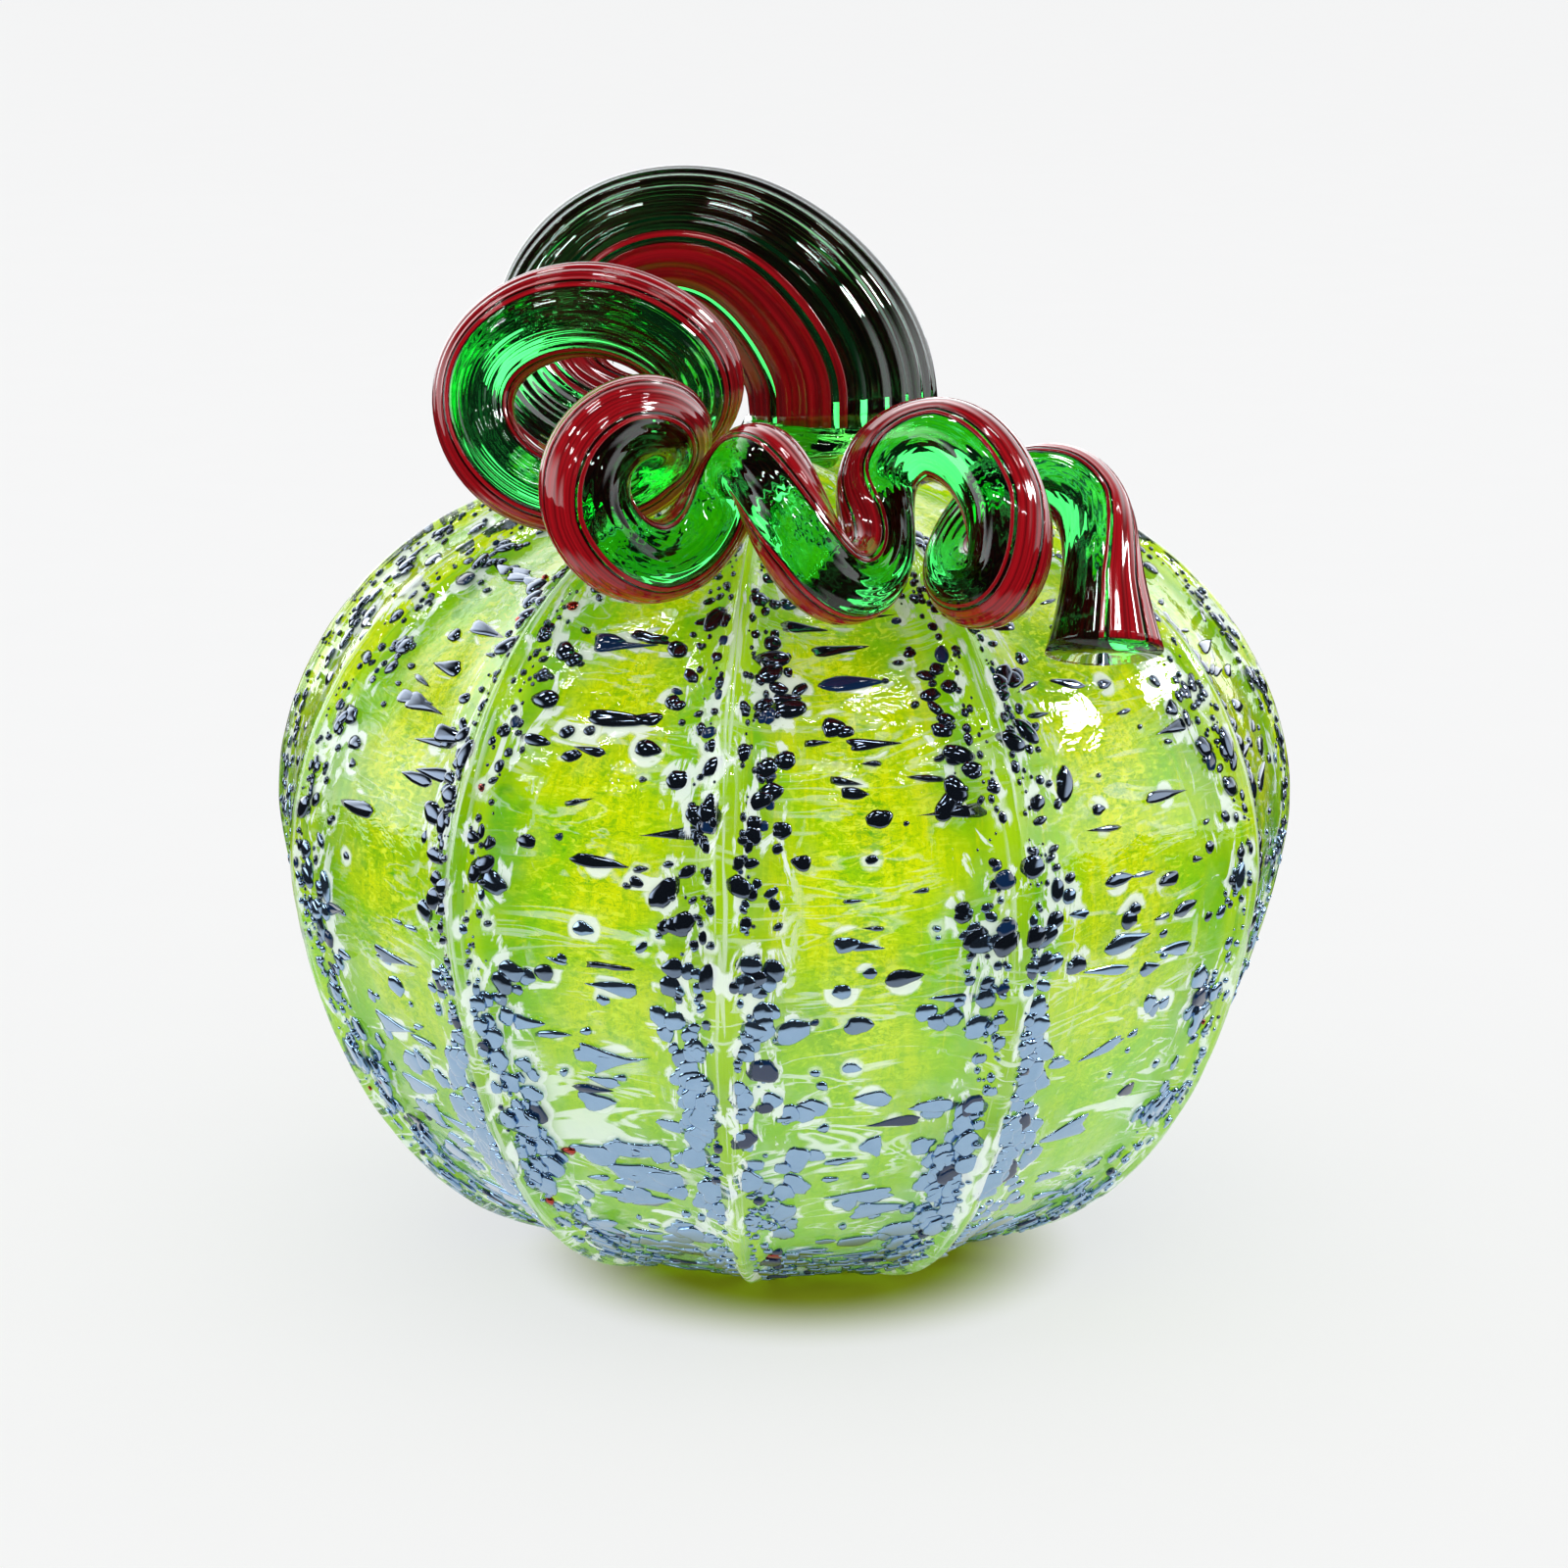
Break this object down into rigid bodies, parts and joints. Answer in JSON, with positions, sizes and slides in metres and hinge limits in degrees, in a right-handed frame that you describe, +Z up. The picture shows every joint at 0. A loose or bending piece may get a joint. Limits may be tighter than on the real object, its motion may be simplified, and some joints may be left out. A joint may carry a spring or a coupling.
{
  "type": "glass pumpkin",
  "caption": "Hollow blown-glass pumpkin with a ribbed lime body, a sealed crown and a thick coiled stem that tapers into a curled tendril; a standing table ornament.",
  "frame": {"origin": "middle of the flat foot, on the surface the pumpkin stands on", "axes": "+Z up through the crown; -Y is the shown side, where the tendril lies on the shoulder; +X is to the viewer's right"},
  "size_m": [0.1509, 0.1508, 0.1569],
  "materials": {
    "lime_casing": "fire-polished, transparent, flecked with dark frit",
    "yellow_bubble": "transparent, fire-polished",
    "green_seal": "fire-polished, transparent",
    "green_rod": "optic-ribbed, transparent, gloss",
    "red_overlay": "near-opaque stripe, gloss"
  },
  "bodies": {
    "root": {"ribbed_casing": "lime_casing", "inner_bubble": "yellow_bubble", "crown_seal": "green_seal", "stem_rod": "green_rod", "stem_overlay": "red_overlay", "stem_overlay_far": "red_overlay"}
  },
  "joints": []
}
